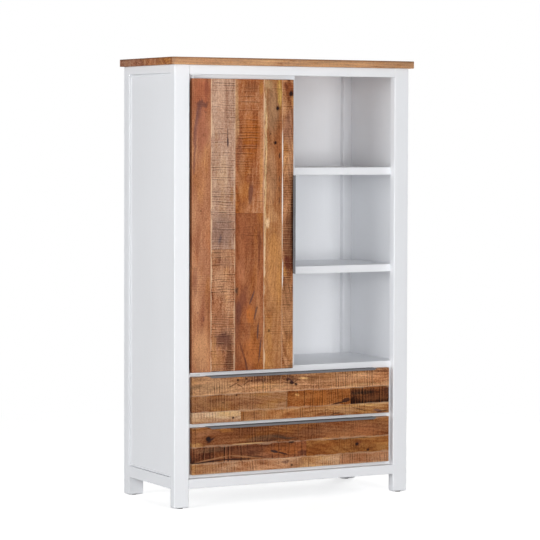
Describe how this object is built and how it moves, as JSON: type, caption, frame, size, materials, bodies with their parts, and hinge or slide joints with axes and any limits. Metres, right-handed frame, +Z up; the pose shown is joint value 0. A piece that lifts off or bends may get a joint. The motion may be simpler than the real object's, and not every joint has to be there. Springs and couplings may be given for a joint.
{
  "type": "highboard",
  "caption": "Tall white framed highboard with a natural board top, a plank door beside an open bay with shelves, and drawers with folded metal pulls below.",
  "frame": {"origin": "on the floor, under the middle of the top", "axes": "+X to the right as seen from the front, +Y from the front to the back, +Z up"},
  "size_m": [0.9, 0.4, 1.45],
  "materials": {
    "white_paint": "solid wood and board with a smooth satin white paint",
    "top_wood": "natural reclaimed boards, oiled, tan with dark end grain",
    "front_wood": "natural reclaimed boards, oiled, mixed tans and browns with knots and saw marks",
    "inner_wood": "plain light softwood",
    "handle_metal": "folded sheet steel, powder coated anthracite",
    "bright_steel": "zinc plated steel",
    "white_steel": "sheet steel, painted white with the frame",
    "bush_brass": "plain turned brass",
    "catch_plastic": "matt dark plastic",
    "glide_felt": "dark brown pressed felt"
  },
  "bodies": {
    "cabinet": {"top_board_front": "top_wood", "top_board_second": "top_wood", "top_board_third": "top_wood", "top_board_rear": "top_wood", "front_post_left": "white_paint", "front_post_right": "white_paint", "rear_post_left": "white_paint", "rear_post_right": "white_paint", "front_rail_top": "white_paint", "front_rail_bottom": "white_paint", "side_rail_top_left": "white_paint", "side_rail_top_right": "white_paint", "side_rail_bottom_left": "white_paint", "side_rail_bottom_right": "white_paint", "rear_rail_top": "white_paint", "rear_rail_bottom": "white_paint", "side_panel_left": "white_paint", "side_panel_right": "white_paint", "back_panel": "white_paint", "floor_board": "white_paint", "deck_board": "white_paint", "drawer_rail": "white_paint", "divider": "white_paint", "door_lintel": "white_paint", "drawer_liners": "white_paint", "bay_shelf_upper": "white_paint", "bay_shelf_lower": "white_paint", "cupboard_shelf_upper": "white_paint", "cupboard_shelf_lower": "white_paint", "shelf_pins": "bright_steel", "hinge_plates": "white_steel", "magnet_catch": "catch_plastic", "runner_strips": "inner_wood", "foot_glides": "glide_felt", "top_screws": "bright_steel"},
    "door": {"door_plank_1": "front_wood", "door_plank_2": "front_wood", "door_plank_3": "front_wood", "door_plank_4": "front_wood", "door_plank_5": "front_wood", "door_battens": "inner_wood", "door_handle": "handle_metal", "hinge_bushes": "bush_brass", "strike_plate": "bright_steel"},
    "upper_drawer": {"upper_drawer_board_bottom": "front_wood", "upper_drawer_board_middle": "front_wood", "upper_drawer_board_top": "front_wood", "upper_drawer_side_left": "inner_wood", "upper_drawer_side_right": "inner_wood", "upper_drawer_back": "inner_wood", "upper_drawer_bottom": "inner_wood", "upper_drawer_handle": "handle_metal"},
    "lower_drawer": {"lower_drawer_board_bottom": "front_wood", "lower_drawer_board_middle": "front_wood", "lower_drawer_board_top": "front_wood", "lower_drawer_side_left": "inner_wood", "lower_drawer_side_right": "inner_wood", "lower_drawer_back": "inner_wood", "lower_drawer_bottom": "inner_wood", "lower_drawer_handle": "handle_metal"}
  },
  "joints": [
    {"name": "door_hinge", "type": "hinge", "parent": "cabinet", "child": "door", "pos_m": [-0.3665, -0.181, 0.9], "axis": [0, 0, -1], "range_deg": [0, 110]},
    {"name": "upper_drawer_slide", "type": "slide", "parent": "cabinet", "child": "upper_drawer", "axis": [0, -1, 0], "range_m": [0, 0.27]},
    {"name": "lower_drawer_slide", "type": "slide", "parent": "cabinet", "child": "lower_drawer", "axis": [0, -1, 0], "range_m": [0, 0.27]}
  ]
}
